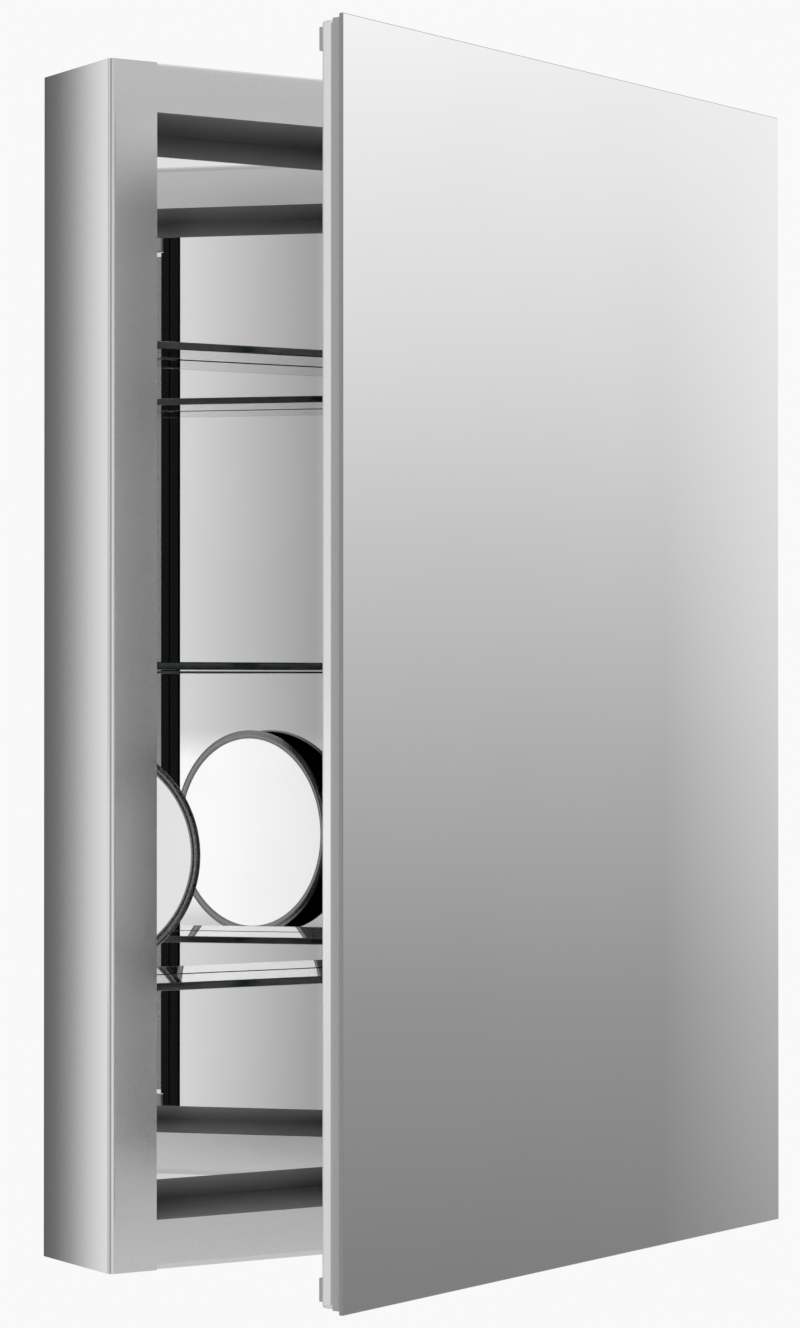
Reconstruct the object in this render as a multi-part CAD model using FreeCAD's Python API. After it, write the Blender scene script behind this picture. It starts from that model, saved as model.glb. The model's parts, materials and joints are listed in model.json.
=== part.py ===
import FreeCAD, Part
import math
import os
from FreeCAD import Vector

# Wall-hung medicine cabinet with a mirrored door, a mirrored back, glass shelves
# and a round magnifying mirror on the inside of the door.
# Millimetres. +X right, +Y into the wall, +Z up; the origin is the middle of the wall face.

# ---- driving dimensions: the case ----
CASE_WIDTH = 508.0
CASE_HEIGHT = 762.0
CASE_DEPTH = 92.0
CASE_RAIL = 31.6            # width of the top and bottom extrusions seen from the front
SIDE_RAIL = 33.4            # width of the side extrusions
CASE_WALL = 1.8
CASE_ARRIS = 4.0            # rounding of the outer front arris
END_CAP = 1.0               # closes the ends of the side rails
RAIL_SPLIT = 49.0           # depth at which the web divides the hollow rail
CHANNEL_DEPTH = 9.0         # open channel in the wall side of every rail
CHANNEL_WIDTH = 14.8

# ---- driving dimensions: the mirrored back ----
BACK_GLASS = 3.0
BACK_SHEET = 0.8
BACK_GLASS_LAP = 4.0
BACK_SHEET_LAP = 9.6
LINING = 0.5                # dark lining of the top and bottom rails' inner faces
LINING_SETBACK = 1.2

# ---- driving dimensions: the door, front to back ----
DOOR_WIDTH = 508.0
DOOR_HEIGHT = 762.0
FRONT_GLASS = 3.0
CORE_THICKNESS = 5.9
FRAME_THICKNESS = 8.9
CORE_INSET = 2.0
FRAME_INSET = 2.4
DOOR_GAP = 4.0              # air between the closed door and the case
DOOR_LIP = 3.0
DOOR_LEDGE = 19.0
HINGE_STILE = 32.0
DOOR_WALL = 1.4
DOOR_ARRIS = 2.5
DOOR_CORNER = 3.0           # rounding of the frame's corners, seen from the front
REAR_GLASS = 3.0
DOOR_REST_ANGLE = 22.7      # how far the door stands open at rest
SEAL_FROM_EDGE = 12.0       # from the door's free edge to its dust seal
SEAL_WIDTH = 18.6
SEAL_BASE = 0.6
SEAL_LIP = 1.6
SEAL_GROOVE = 1.6

# ---- driving dimensions: the hinges ----
PIVOT_FROM_END = 8.0        # from the glass's end to the pin
PIVOT_FROM_BACK = 9.5       # from the door's back plane to the pin
HINGE_HEIGHT = 300.0        # each hinge's distance above or below the middle
PIN_RADIUS = 2.0
RUNNING_FIT = 0.05
BUSH_RADIUS = 3.0
KNUCKLE_RADIUS = 4.5
KNUCKLE_HALF = 9.0
BRACKET_HALF = 21.0
LEAF_HALF = 28.0
LEAF_THICKNESS = 2.0
ARM_HALF = 2.0

# ---- driving dimensions: the shelves ----
SHELF_PITCH = 204.8
SHELF_THICKNESS = 5.0
SHELF_SETBACK = 22.0        # from the case's front plane to the shelf's front edge
SHELF_END_GAP = 1.5
SHELF_BACK_GAP = 3.0
HOLE_STEP = 25.4            # spacing of the spare pin holes
SHELF_PIN_RADIUS = 2.5

# ---- driving dimensions: the magnifying mirror ----
MAG_RADIUS = 85.2
MAG_RING = 6.9
MAG_FROM_EDGE = 120.4       # from the door's free edge to its centre
MAG_HEIGHT = -133.8
MAG_PIVOT = 6.5             # from the door's inner mirror to the swivel's centre
MAG_FACE = 15.0             # from the door's inner mirror to the glass's rim
MAG_SPHERE = 2000.0         # radius of the concave glass
MAG_GLASS = 2.0
MAG_PAN = 3.25              # how far it is turned at rest
TRUNNION_RADIUS = 1.2
HUB_RADIUS = 9.5
HUB_SCREW_RADIUS = 0.9
HUB_SCREW_CIRCLE = 7.4
CROSS_HALF = 2.6

# ---- places that follow from them ----
HALF_W = CASE_WIDTH / 2
HALF_H = CASE_HEIGHT / 2
OPEN_X = HALF_W - SIDE_RAIL
OPEN_Z = HALF_H - CASE_RAIL
CASE_FRONT = -CASE_DEPTH
BACK_FACE = -(BACK_GLASS + BACK_SHEET)
DOOR_BACK = CASE_FRONT - DOOR_GAP
FRAME_FRONT = DOOR_BACK - FRAME_THICKNESS
CORE_FRONT = FRAME_FRONT - CORE_THICKNESS
DOOR_FRONT = CORE_FRONT - FRONT_GLASS
REAR_GLASS_FRONT = DOOR_BACK - REAR_GLASS
FRAME_X = DOOR_WIDTH / 2 - FRAME_INSET
FRAME_Z = DOOR_HEIGHT / 2 - FRAME_INSET
PIVOT_X = DOOR_WIDTH / 2 - PIVOT_FROM_END
PIVOT_Y = DOOR_BACK - PIVOT_FROM_BACK
MAG_X = -DOOR_WIDTH / 2 + MAG_FROM_EDGE
STILE_EDGE = FRAME_X - HINGE_STILE
SHELF_FRONT = CASE_FRONT + SHELF_SETBACK
SHELF_HEIGHTS = {"bottom": -SHELF_PITCH, "middle": 0.0, "top": SHELF_PITCH}
X_AXIS = Vector(1, 0, 0)
Y_AXIS = Vector(0, 1, 0)
Z_AXIS = Vector(0, 0, 1)


# ---- shapes used everywhere ----
def box(x0, x1, y0, y1, z0, z1):
    return Part.makeBox(x1 - x0, y1 - y0, z1 - z0, Vector(x0, y0, z0))


def rod(radius, length, start, axis):
    return Part.makeCylinder(radius, length, Vector(*start), axis)


def plate_with(points, height, along):
    """A straight prism on a closed outline of plane points."""
    wire = Part.makePolygon([Vector(*p) for p in points + points[:1]])
    return Part.Face(wire).extrude(along * height)


def joined(shapes):
    result = shapes[0]
    for shape in shapes[1:]:
        result = result.fuse(shape)
    return result.removeSplitter()


def countersunk(radius, head, length, start, axis):
    """A countersunk screw whose flat head is flush at start and whose shank runs along axis."""
    depth = head - radius
    cone = Part.makeCone(head, radius, depth, Vector(*start), axis)
    return cone.fuse(rod(radius, length, start, axis)).removeSplitter()


def revolved(points, arc_mid=None):
    """A solid of revolution about Y from an outline of (radius, y) points."""
    vertices = [Vector(r, y, 0) for r, y in points]
    edges = [Part.makeLine(a, b) for a, b in zip(vertices, vertices[1:] + vertices[:1])]
    for index, (radius, y) in (arc_mid or {}).items():
        end = vertices[(index + 1) % len(vertices)]
        edges[index] = Part.Arc(vertices[index], Vector(radius, y, 0), end).toShape()
    return Part.Face(Part.Wire(edges)).revolve(Vector(0, 0, 0), Y_AXIS, 360)


def mitred(profile, half_length, outer, width, turn, start_cut, end_cut):
    """A rail along X whose outer side is at z = -outer, cut at its ends, then turned about Y.

    profile holds (y, distance from the outer side) points; the cuts are how much shorter
    the rail is on its inner side at each end.
    """
    low = -outer
    points = [(-half_length, y, low + u) for y, u in profile]
    rail = plate_with(points, 2 * half_length, X_AXIS)
    quad = [
        (-half_length, -200.0, low),
        (half_length, -200.0, low),
        (half_length - end_cut, -200.0, low + width),
        (-half_length + start_cut, -200.0, low + width),
    ]
    rail = rail.common(plate_with(quad, 220.0, Y_AXIS))
    rail.rotate(Vector(0, 0, 0), Y_AXIS, turn)
    return rail


def spans(edge):
    """True for an edge that runs along one axis, as every edge to be rounded does."""
    low, high = edge.Vertexes[0].Point, edge.Vertexes[-1].Point
    return sum(abs(a - b) > 0.01 for a, b in zip(low, high)) == 1


def rounded_edges(shape, radius, fits):
    edges = [e for e in shape.Edges if all(fits(v.Point) for v in e.Vertexes) and spans(e)]
    return shape.makeFillet(radius, edges)


NODES = {}


def on_case(name, *shapes):
    NODES[name] = Part.makeCompound(list(shapes)) if len(shapes) > 1 else shapes[0]


def on_door(name, *shapes):
    """The door is drawn shut, then swung about the hinge pins to its resting angle."""
    on_case(name, *shapes)
    NODES[name].rotate(Vector(PIVOT_X, PIVOT_Y, 0), Z_AXIS, DOOR_REST_ANGLE)


def on_magnifier(name, *shapes):
    """The magnifier is drawn square to the door about its swivel, turned, and then put in place."""
    on_case(name, *shapes)
    shape = NODES[name]
    shape.rotate(Vector(0, 0, 0), Z_AXIS, MAG_PAN)
    shape.translate(Vector(MAG_X, DOOR_BACK + MAG_PIVOT, MAG_HEIGHT))
    shape.rotate(Vector(PIVOT_X, PIVOT_Y, 0), Z_AXIS, DOOR_REST_ANGLE)


# ---- case rails: hollow anodised extrusions; the top and bottom fit between the sides ----
CHAMBERS = [
    (CASE_FRONT + CASE_WALL, CASE_FRONT + RAIL_SPLIT),
    (CASE_FRONT + RAIL_SPLIT + CASE_WALL, -CHANNEL_DEPTH - CASE_WALL),
]


def case_section(half_length, outer, inner):
    """The rail's solid outline, lying along X with its outer side at z = -outer."""
    profile = [
        (CASE_FRONT, 0.0),
        (CASE_FRONT, inner),
        (BACK_FACE, inner),
        (BACK_FACE, inner - BACK_GLASS_LAP),
        (-BACK_SHEET, inner - BACK_GLASS_LAP),
        (-BACK_SHEET, inner - BACK_SHEET_LAP),
        (0.0, inner - BACK_SHEET_LAP),
        (0.0, CASE_WALL + CHANNEL_WIDTH),
        (-CHANNEL_DEPTH, CASE_WALL + CHANNEL_WIDTH),
        (-CHANNEL_DEPTH, CASE_WALL),
        (0.0, CASE_WALL),
        (0.0, 0.0),
    ]
    low = -outer
    points = [(-half_length, y, low + u) for y, u in profile]
    section = plate_with(points, 2 * half_length, X_AXIS)
    return rounded_edges(
        section, CASE_ARRIS,
        lambda p: abs(p.y - CASE_FRONT) < 0.01 and abs(p.z - low) < 0.01)


def case_rail(half_length, outer, width, turn):
    low = -outer
    rail = case_section(half_length, outer, width)
    for y0, y1 in CHAMBERS:
        rail = rail.cut(box(
            -half_length - 1, half_length + 1, y0, y1, low + CASE_WALL, low + width - CASE_WALL))
    rail.rotate(Vector(0, 0, 0), Y_AXIS, turn)
    return rail


def end_caps(turn):
    caps = []
    for end in (-1, 1):
        cap = case_section(END_CAP / 2, HALF_W, SIDE_RAIL)
        cap.translate(Vector(end * (HALF_H - END_CAP / 2), 0, 0))
        cap.rotate(Vector(0, 0, 0), Y_AXIS, turn)
        caps.append(cap)
    return caps


rails = {
    "case_bottom": case_rail(OPEN_X, HALF_H, CASE_RAIL, 0),
    "case_left": case_rail(HALF_H - END_CAP, HALF_W, SIDE_RAIL, 90),
    "case_top": case_rail(OPEN_X, HALF_H, CASE_RAIL, 180),
    "case_right": case_rail(HALF_H - END_CAP, HALF_W, SIDE_RAIL, 270),
}
on_case("case_end_caps", *end_caps(90), *end_caps(270))


def corner_key(y0, y1, side, level):
    """An L-shaped cast key: its post stands in a side rail, its arm goes into the next rail."""
    reach = 70.0
    edge = CASE_WALL + 0.3
    thick = 5.0
    flat = box(HALF_W - reach, HALF_W - edge, y0 + 0.3, y1 - 0.3, HALF_H - edge - thick, HALF_H - edge)
    post = box(HALF_W - edge - thick, HALF_W - edge, y0 + 0.3, y1 - 0.3, HALF_H - reach, HALF_H - edge)
    key = joined([flat, post])
    if side < 0:
        key = key.mirror(Vector(0, 0, 0), X_AXIS)
    if level < 0:
        key = key.mirror(Vector(0, 0, 0), Z_AXIS)
    return key


corner_keys = []
for y0, y1 in CHAMBERS:
    for side, name in ((-1, "case_left"), (1, "case_right")):
        for level in (-1, 1):
            key = corner_key(y0, y1, side, level)
            rails[name] = rails[name].cut(key)
            corner_keys.append(key)
on_case("case_corner_keys", *corner_keys)

# ---- mirrored back: glass in a rebate, with a sheet screwed on behind it ----
glass_x = OPEN_X + BACK_GLASS_LAP - 0.2
glass_z = OPEN_Z + BACK_GLASS_LAP - 0.2
on_case("back_mirror", box(-glass_x, glass_x, BACK_FACE, -BACK_SHEET, -glass_z, glass_z))

sheet_x = OPEN_X + BACK_SHEET_LAP - 0.2
sheet_z = OPEN_Z + BACK_SHEET_LAP - 0.2
back_sheet = box(-sheet_x, sheet_x, -BACK_SHEET, 0, -sheet_z, sheet_z)
screw_x = OPEN_X + 7.0
screw_z = OPEN_Z + 7.0
back_screws = []
for z in (-screw_z, -screw_z / 3, screw_z / 3, screw_z):
    for x in (-screw_x, screw_x):
        back_screws.append(countersunk(1.3, 2.6, 8.0, (x, 0, z), -Y_AXIS))
for screw in back_screws:
    back_sheet = back_sheet.cut(screw)
    for name in rails:
        rails[name] = rails[name].cut(screw)
on_case("back_sheet", back_sheet)
on_case("back_screws", *back_screws)

# ---- wall fixing: two hooked rails for the wall, two hooked bars in the case's channels ----
WALL_HOLE_SPACING = 406.4
WALL_HOLE_RADIUS = 2.75
RAIL_HALF = OPEN_X - 2.0
channel_roof = {"top": HALF_H - CASE_WALL, "bottom": -HALF_H + CASE_WALL + CHANNEL_WIDTH}


def wall_rail(roof):
    outline = [
        (0.0, roof - 14.0), (0.0, roof - 5.0), (-3.6, roof - 5.0), (-3.6, roof - 2.4),
        (-5.2, roof - 2.4), (-5.2, roof - 7.0), (-2.0, roof - 7.0), (-2.0, roof - 14.0),
    ]
    rail = plate_with([(-RAIL_HALF, y, z) for y, z in outline], 2 * RAIL_HALF, X_AXIS)
    for x in (-WALL_HOLE_SPACING / 2, WALL_HOLE_SPACING / 2):
        rail = rail.cut(rod(WALL_HOLE_RADIUS, 10, (x, -8, roof - 10.5), Y_AXIS))
    return rail


def hang_bar(roof):
    outline = [
        (-CHANNEL_DEPTH, roof - 13.0), (-CHANNEL_DEPTH, roof - 0.3), (-0.8, roof - 0.3),
        (-0.8, roof - 4.6), (-2.4, roof - 4.6), (-2.4, roof - 1.9), (-7.2, roof - 1.9),
        (-7.2, roof - 13.0),
    ]
    return plate_with([(-RAIL_HALF, y, z) for y, z in outline], 2 * RAIL_HALF, X_AXIS)


hang_screws = []
for place, roof in channel_roof.items():
    bar = hang_bar(roof)
    for x in (-150.0, -50.0, 50.0, 150.0):
        screw = countersunk(1.3, 2.4, 5.0, (x, -7.2, roof - 9.5), -Y_AXIS)
        bar = bar.cut(screw)
        rails["case_" + place] = rails["case_" + place].cut(screw)
        hang_screws.append(screw)
    on_case("hang_bar_" + place, bar)
    on_case("wall_rail_" + place, wall_rail(roof))
on_case("hang_bar_screws", *hang_screws)

# ---- glass shelves on pins, with spare pin holes above and below each ----
PIN_DEPTHS = (SHELF_FRONT + 10.0, BACK_FACE - 14.0)
shelf_pins = []
shelf_pads = []
for place, height in SHELF_HEIGHTS.items():
    low = height - SHELF_THICKNESS / 2
    shelf = box(
        -OPEN_X + SHELF_END_GAP, OPEN_X - SHELF_END_GAP, SHELF_FRONT, BACK_FACE - SHELF_BACK_GAP,
        low, low + SHELF_THICKNESS)
    on_case("glass_shelf_" + place, shelf.makeChamfer(0.6, shelf.Edges))
    pin_z = low - 0.8 - SHELF_PIN_RADIUS
    for side, name in ((-1, "case_left"), (1, "case_right")):
        for y in PIN_DEPTHS:
            wall_x = side * OPEN_X
            outward = X_AXIS * side
            peg = rod(SHELF_PIN_RADIUS, 6.0, (wall_x, y, pin_z), outward)
            collar = rod(3.6, 1.2, (wall_x, y, pin_z), -outward)
            tongue = rod(SHELF_PIN_RADIUS, 9.0, (wall_x, y, pin_z), -outward)
            shelf_pins.append(joined([peg, collar.cut(box(
                wall_x - 10, wall_x + 10, y - 5, y + 5, low - 0.8, low + 9)), tongue]))
            pad_x = sorted((wall_x - side * 2.0, wall_x - side * 8.5))
            shelf_pads.append(box(*pad_x, y - 2.2, y + 2.2, low - 0.8, low))
            for step in (-1, 0, 1):
                hole = rod(SHELF_PIN_RADIUS + 0.1, 4.0, (wall_x - side, y, pin_z + step * HOLE_STEP), outward)
                rails[name] = rails[name].cut(hole)
on_case("shelf_pins", *shelf_pins)
on_case("shelf_pads", *shelf_pads)

# ---- dark lining on the inner faces of the top and bottom rails ----
linings = []
for low in (OPEN_Z - LINING, -OPEN_Z):
    linings.append(box(
        -OPEN_X + 0.2, OPEN_X - 0.2, CASE_FRONT + LINING_SETBACK, BACK_FACE - 0.2, low, low + LINING))
on_case("case_lining", *linings)

# ---- door frame: slim rails round three sides, a wide stile on the hinge side ----
slim = DOOR_LIP + DOOR_LEDGE
LEDGE_BACK = REAR_GLASS_FRONT - 0.2


def slim_rail(half_length, outer, turn, start_cut, end_cut):
    profile = [
        (FRAME_FRONT, 0.0), (FRAME_FRONT, slim), (LEDGE_BACK, slim), (LEDGE_BACK, DOOR_LIP),
        (DOOR_BACK, DOOR_LIP), (DOOR_BACK, 0.0),
    ]
    low = -outer
    rail = mitred(profile, half_length, outer, slim, 0, start_cut, end_cut)
    rail = rounded_edges(
        rail, DOOR_ARRIS,
        lambda p: abs(p.y - DOOR_BACK) < 0.01 and abs(p.z - low) < 0.01)
    chamber = box(
        -half_length - 1, half_length + 1, FRAME_FRONT + DOOR_WALL, LEDGE_BACK - DOOR_WALL,
        low + DOOR_LIP, low + slim - DOOR_WALL)
    rail = rail.cut(chamber)
    rail.rotate(Vector(0, 0, 0), Y_AXIS, turn)
    return rail.common(door_outline)


# the frame's outer outline has small rounded corners
door_outline = rounded_edges(
    box(-FRAME_X, FRAME_X, FRAME_FRONT - 1, DOOR_BACK + 1, -FRAME_Z, FRAME_Z), DOOR_CORNER,
    lambda p: abs(abs(p.x) - FRAME_X) < 0.01 and abs(abs(p.z) - FRAME_Z) < 0.01)
door_rails = {"door_rail_left": slim_rail(FRAME_Z, FRAME_X, 90, slim, slim)}
for place, turn in (("bottom", 0), ("top", 180)):
    rail = slim_rail(FRAME_X, FRAME_Z, turn, slim if turn == 0 else 0, 0 if turn == 0 else slim)
    beyond = box(STILE_EDGE, FRAME_X + 1, FRAME_FRONT - 1, DOOR_BACK + 1, -FRAME_Z - 1, FRAME_Z + 1)
    door_rails["door_rail_" + place] = rail.cut(beyond)

stile = box(STILE_EDGE, FRAME_X, FRAME_FRONT, DOOR_BACK, -FRAME_Z, FRAME_Z)
stile = rounded_edges(
    stile, DOOR_ARRIS,
    lambda p: abs(p.y - DOOR_BACK) < 0.01 and abs(p.x - FRAME_X) < 0.01)
stile = stile.cut(box(
    STILE_EDGE + DOOR_WALL, FRAME_X - 2 * DOOR_WALL, FRAME_FRONT + DOOR_WALL, DOOR_BACK - DOOR_WALL,
    -FRAME_Z + DOOR_WALL, FRAME_Z - DOOR_WALL))
stile = stile.common(door_outline)

corner_screws = []
for level in (-1, 1):
    z = level * (FRAME_Z - 9.0)
    screw = countersunk(1.5, 2.8, 42.0, (FRAME_X, FRAME_FRONT + 2.9, z), -X_AXIS)
    place = "door_rail_top" if level > 0 else "door_rail_bottom"
    stile = stile.cut(screw)
    door_rails[place] = door_rails[place].cut(screw)
    corner_screws.append(screw)
on_door("door_corner_screws", *corner_screws)

door_keys = []
for level in (-1, 1):
    inner = 8.0
    key_y = (FRAME_FRONT + DOOR_WALL + 0.2, LEDGE_BACK - DOOR_WALL - 0.2)
    z_out = level * (FRAME_Z - inner)
    z_in = level * (FRAME_Z - inner - 8.0)
    z_end = level * (FRAME_Z - 45.0)
    x_out = -FRAME_X + inner
    arm = box(x_out, -FRAME_X + 45.0, *key_y, *sorted((z_out, z_in)))
    post = box(x_out, x_out + 8.0, *key_y, *sorted((z_out, z_end)))
    door_keys.append(joined([arm, post]))
on_door("door_corner_keys", *door_keys)

# ---- door skins: front mirror, core board, foam and rear mirror ----
front = box(-DOOR_WIDTH / 2, DOOR_WIDTH / 2, DOOR_FRONT, CORE_FRONT, -DOOR_HEIGHT / 2, DOOR_HEIGHT / 2)
on_door("front_mirror", front.makeChamfer(0.5, front.Edges))

core_x = DOOR_WIDTH / 2 - CORE_INSET
core_z = DOOR_HEIGHT / 2 - CORE_INSET
core = box(-core_x, core_x, CORE_FRONT, FRAME_FRONT, -core_z, core_z)
foam = box(
    -FRAME_X + slim + 0.3, STILE_EDGE - 0.3, FRAME_FRONT, REAR_GLASS_FRONT,
    -FRAME_Z + slim + 0.3, FRAME_Z - slim - 0.3)
rear = box(
    -FRAME_X + DOOR_LIP + 0.2, STILE_EDGE - 0.2, REAR_GLASS_FRONT, DOOR_BACK,
    -FRAME_Z + DOOR_LIP + 0.2, FRAME_Z - DOOR_LIP - 0.2)
on_door("door_foam", foam)
on_door("rear_mirror", rear)

# ---- hinges: a leaf and knuckle on the case, a forked bracket and pin on the door ----
NOTCH_INNER = PIVOT_X - 14.0
leaf_screws = []
bracket_screws = []
bushes = []
for place, z in (("top", HINGE_HEIGHT), ("bottom", -HINGE_HEIGHT)):
    pivot = (PIVOT_X, PIVOT_Y, z)
    plate = box(
        PIVOT_X - 21, PIVOT_X + 3, CASE_FRONT - LEAF_THICKNESS, CASE_FRONT, z - LEAF_HALF, z + LEAF_HALF)
    arm = box(
        PIVOT_X - ARM_HALF, PIVOT_X + ARM_HALF, PIVOT_Y, CASE_FRONT, z - KNUCKLE_HALF, z + KNUCKLE_HALF)
    knuckle = rod(KNUCKLE_RADIUS, 2 * KNUCKLE_HALF, (PIVOT_X, PIVOT_Y, z - KNUCKLE_HALF), Z_AXIS)
    leaf = joined([plate, arm, knuckle])
    tube_start = (PIVOT_X, PIVOT_Y, z - KNUCKLE_HALF)
    tube = rod(BUSH_RADIUS, 2 * KNUCKLE_HALF, tube_start, Z_AXIS)
    bore = rod(PIN_RADIUS + RUNNING_FIT, 2 * KNUCKLE_HALF, tube_start, Z_AXIS)
    leaf = leaf.cut(tube)
    bushes.append(tube.cut(bore))
    for dz in (-20.0, 20.0):
        screw = countersunk(1.6, 3.2, 12.0, (PIVOT_X - 13, CASE_FRONT - LEAF_THICKNESS, z + dz), Y_AXIS)
        leaf = leaf.cut(screw)
        rails["case_right"] = rails["case_right"].cut(screw)
        leaf_screws.append(screw)
    on_case("hinge_leaf_" + place, leaf)

    notch = BRACKET_HALF + 0.4
    stile = stile.cut(box(
        NOTCH_INNER - 0.2, FRAME_X + 1, FRAME_FRONT - 1, DOOR_BACK + 1, z - notch, z + notch))
    core = core.cut(box(
        PIVOT_X - 7, core_x + 1, CORE_FRONT - 1, FRAME_FRONT + 1, z - notch, z + notch))
    block = box(
        NOTCH_INNER, PIVOT_X + 5, FRAME_FRONT, DOOR_BACK - 0.2, z - BRACKET_HALF, z + BRACKET_HALF)
    lobe = rod(4.8, 2 * BRACKET_HALF, (PIVOT_X, PIVOT_Y, z - BRACKET_HALF), Z_AXIS)
    gap = KNUCKLE_HALF + 0.3
    slot = box(PIVOT_X - 7, PIVOT_X + 8, PIVOT_Y - 8, DOOR_BACK + 1, z - gap, z + gap)
    pin = rod(PIN_RADIUS, 2 * BRACKET_HALF, (PIVOT_X, PIVOT_Y, z - BRACKET_HALF), Z_AXIS)
    bracket = joined([block, lobe]).cut(slot).cut(pin)
    for dz in (-15.0, 15.0):
        screw = countersunk(1.5, 2.8, 12.0, (PIVOT_X - 10.5, DOOR_BACK - 0.2, z + dz), -Y_AXIS)
        bracket = bracket.cut(screw)
        core = core.cut(screw)
        bracket_screws.append(screw)
    on_door("hinge_bracket_" + place, bracket)
    on_door("hinge_pin_" + place, pin)
on_case("hinge_bushes", *bushes)
on_case("hinge_leaf_screws", *leaf_screws)
on_door("hinge_bracket_screws", *bracket_screws)
on_door("door_core", core)
on_door("door_stile_right", stile)
for name, rail in door_rails.items():
    on_door(name, rail)
for name, rail in rails.items():
    on_case(name, rail)

# ---- dust seal: a strip with two flat lips on the rear mirror, beside the free edge ----
seal_x = -DOOR_WIDTH / 2 + SEAL_FROM_EDGE
seal_z = FRAME_Z - DOOR_LIP - 1.5
lip_width = (SEAL_WIDTH - SEAL_GROOVE) / 2
seal = [box(seal_x, seal_x + SEAL_WIDTH, DOOR_BACK, DOOR_BACK + SEAL_BASE, -seal_z, seal_z)]
for lip_x in (seal_x, seal_x + SEAL_WIDTH - lip_width):
    seal.append(box(lip_x, lip_x + lip_width, DOOR_BACK, DOOR_BACK + SEAL_LIP, -seal_z, seal_z))
notch_x = -FRAME_X + 12.0      # leaves room for the bumpers in the corners
notch_z = FRAME_Z - 18.5
seal = joined(seal)
for low in (notch_z, -seal_z - 1):
    seal = seal.cut(box(
        seal_x - 1, notch_x, DOOR_BACK - 1, DOOR_BACK + 3, low, low + seal_z + 1 - notch_z))
on_door("door_seal", seal)

# ---- bumpers: two buffers on the free edge that meet the case's front ----
BUMPER_HEIGHT = 14.0
BUMPER_FROM_END = 3.5
BUMPER_STAND = DOOR_GAP - 0.3
bumpers = []
for level in (-1, 1):
    z = level * (FRAME_Z - BUMPER_FROM_END - BUMPER_HEIGHT / 2)
    buffer = box(
        -FRAME_X + 2.6, -FRAME_X + 11.0, DOOR_BACK, DOOR_BACK + BUMPER_STAND,
        z - BUMPER_HEIGHT / 2, z + BUMPER_HEIGHT / 2)
    bumpers.append(rounded_edges(buffer, 1.2, lambda p: abs(p.y - DOOR_BACK - BUMPER_STAND) < 0.01))
on_door("door_bumpers", *bumpers)

# ---- magnifying mirror: base, universal swivel, dished back, concave glass, bezel ----
# Its shapes are drawn about the swivel's centre, with +Y away from the door.
DOOR_SIDE = -MAG_PIVOT
PAD = 0.5
BASE_RADIUS = 24.0
BASE_TOP = DOOR_SIDE + 2.6
EAR_REACH = 2.0
EAR_LENGTH = 3.0
EAR_HALF = 2.4
ear_in = CROSS_HALF + 0.2
ear_out = ear_in + EAR_LENGTH


def along_door(*shapes):
    """The base keeps square to the door, so only its place follows the magnifier."""
    placed = []
    for shape in shapes:
        shape.translate(Vector(MAG_X, DOOR_BACK + MAG_PIVOT, MAG_HEIGHT))
        placed.append(shape)
    return placed


pad = rod(BASE_RADIUS - 0.5, PAD, (0, DOOR_SIDE, 0), Y_AXIS)
base_disc = revolved([
    (0, DOOR_SIDE + PAD), (BASE_RADIUS, DOOR_SIDE + PAD), (BASE_RADIUS, BASE_TOP - 1.0),
    (BASE_RADIUS - 1.0, BASE_TOP), (0, BASE_TOP)])
base_ears = []
for level in (-1, 1):
    ear = box(-EAR_HALF, EAR_HALF, BASE_TOP - 0.5, EAR_REACH, *sorted((level * ear_in, level * ear_out)))
    base_ears.append(ear)
bearing_z = rod(TRUNNION_RADIUS + RUNNING_FIT, 2 * ear_out + 2, (0, 0, -ear_out - 1), Z_AXIS)
base = joined([base_disc] + base_ears).cut(bearing_z)
on_door("magnifier_pad", *along_door(pad))
on_door("magnifier_base", *along_door(base))

block = box(-CROSS_HALF, CROSS_HALF, -CROSS_HALF, CROSS_HALF, -CROSS_HALF, CROSS_HALF)
trunnion_reach = ear_out - 0.3
cross = joined([
    block,
    rod(TRUNNION_RADIUS, 2 * trunnion_reach, (0, 0, -trunnion_reach), Z_AXIS),
    rod(TRUNNION_RADIUS, 2 * trunnion_reach, (-trunnion_reach, 0, 0), X_AXIS)])
on_magnifier("swivel_cross", cross)

FACE = MAG_FACE - MAG_PIVOT
GLASS_RADIUS = MAG_RADIUS - MAG_RING + 1.5
sag = MAG_SPHERE - math.sqrt(MAG_SPHERE ** 2 - GLASS_RADIUS ** 2)
mid_sag = MAG_SPHERE - math.sqrt(MAG_SPHERE ** 2 - (GLASS_RADIUS / 2) ** 2)
glass_low = FACE - sag
glass = revolved(
    [(0, glass_low - MAG_GLASS), (GLASS_RADIUS, FACE - MAG_GLASS), (GLASS_RADIUS, FACE), (0, glass_low)],
    {0: (GLASS_RADIUS / 2, glass_low - MAG_GLASS + mid_sag), 2: (GLASS_RADIUS / 2, glass_low + mid_sag)})
on_magnifier("magnifier_glass", glass)

PLATE_TOP = glass_low - MAG_GLASS - 0.2
PLATE_BOTTOM = PLATE_TOP - 1.2
SHELL_RADIUS = GLASS_RADIUS
RIM_BACK = FACE - 4.0
shell = revolved([
    (0, PLATE_BOTTOM), (46.0, PLATE_BOTTOM), (SHELL_RADIUS, RIM_BACK + 0.2),
    (SHELL_RADIUS, FACE - MAG_GLASS - 0.1), (SHELL_RADIUS - 3.0, FACE - MAG_GLASS - 0.2),
    (44.0, PLATE_TOP), (0, PLATE_TOP)])

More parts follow.
